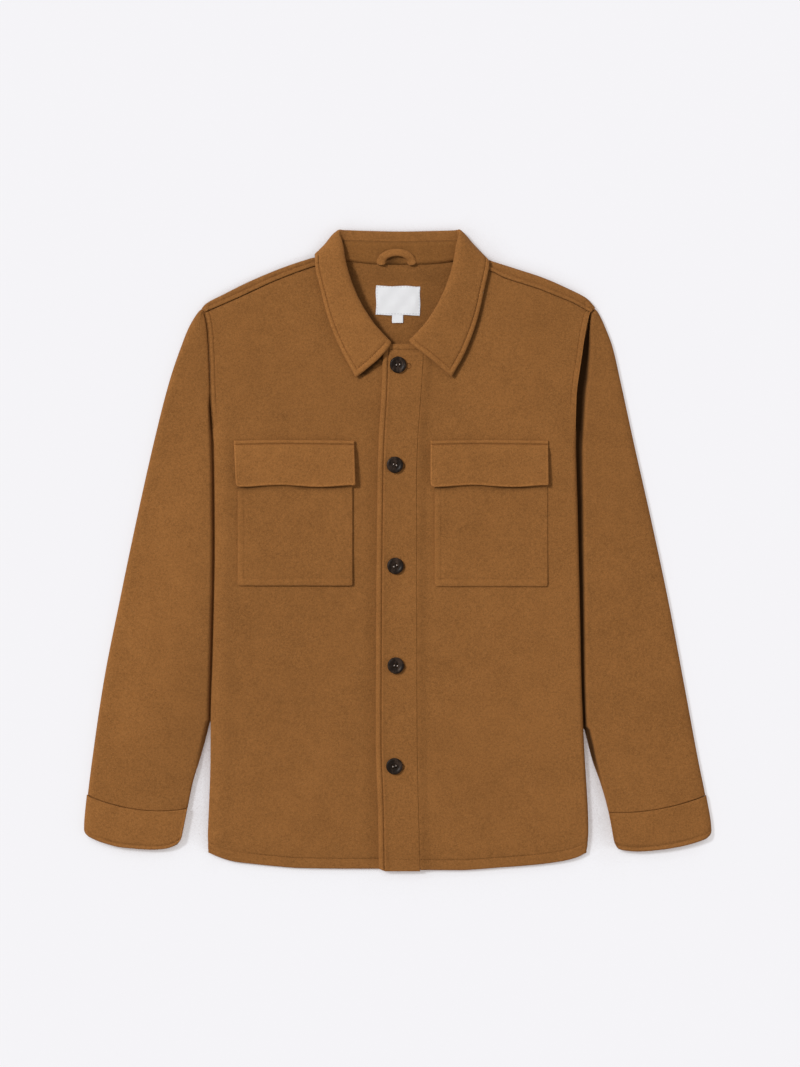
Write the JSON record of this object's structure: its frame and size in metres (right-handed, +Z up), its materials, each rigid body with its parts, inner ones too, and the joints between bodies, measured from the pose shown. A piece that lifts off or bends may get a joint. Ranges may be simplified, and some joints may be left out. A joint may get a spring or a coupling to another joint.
{
  "type": "wool overshirt jacket",
  "caption": "Buttoned wool overshirt laid flat on its back, with a turned collar, patch pockets with flaps, a placket band, cuffs and a hanger loop.",
  "frame": {"origin": "centre of the jacket's footprint, on the surface it lies on", "axes": "+Z up from the surface, +Y from the hem to the collar, +X to the wearer's left"},
  "size_m": [0.7521, 0.7673, 0.0207],
  "materials": {
    "wool": "felted, soft nap",
    "wool_shaded": "felted, soft nap",
    "label_weave": "fine satin weave",
    "horn": "polished dark horn"
  },
  "bodies": {
    "root": {"back": "wool", "front_right": "wool", "front_left": "wool", "placket": "wool", "sleeve_right": "wool", "sleeve_left": "wool", "cuff_right": "wool", "cuff_left": "wool", "collar": "wool", "collar_stand": "wool_shaded", "hanger_loop": "wool", "label": "label_weave", "size_tab": "label_weave", "pocket_right": "wool", "pocket_left": "wool", "flap_right": "wool", "flap_left": "wool", "button_1": "horn", "button_2": "horn", "button_3": "horn", "button_4": "horn", "button_5": "horn"}
  },
  "joints": []
}
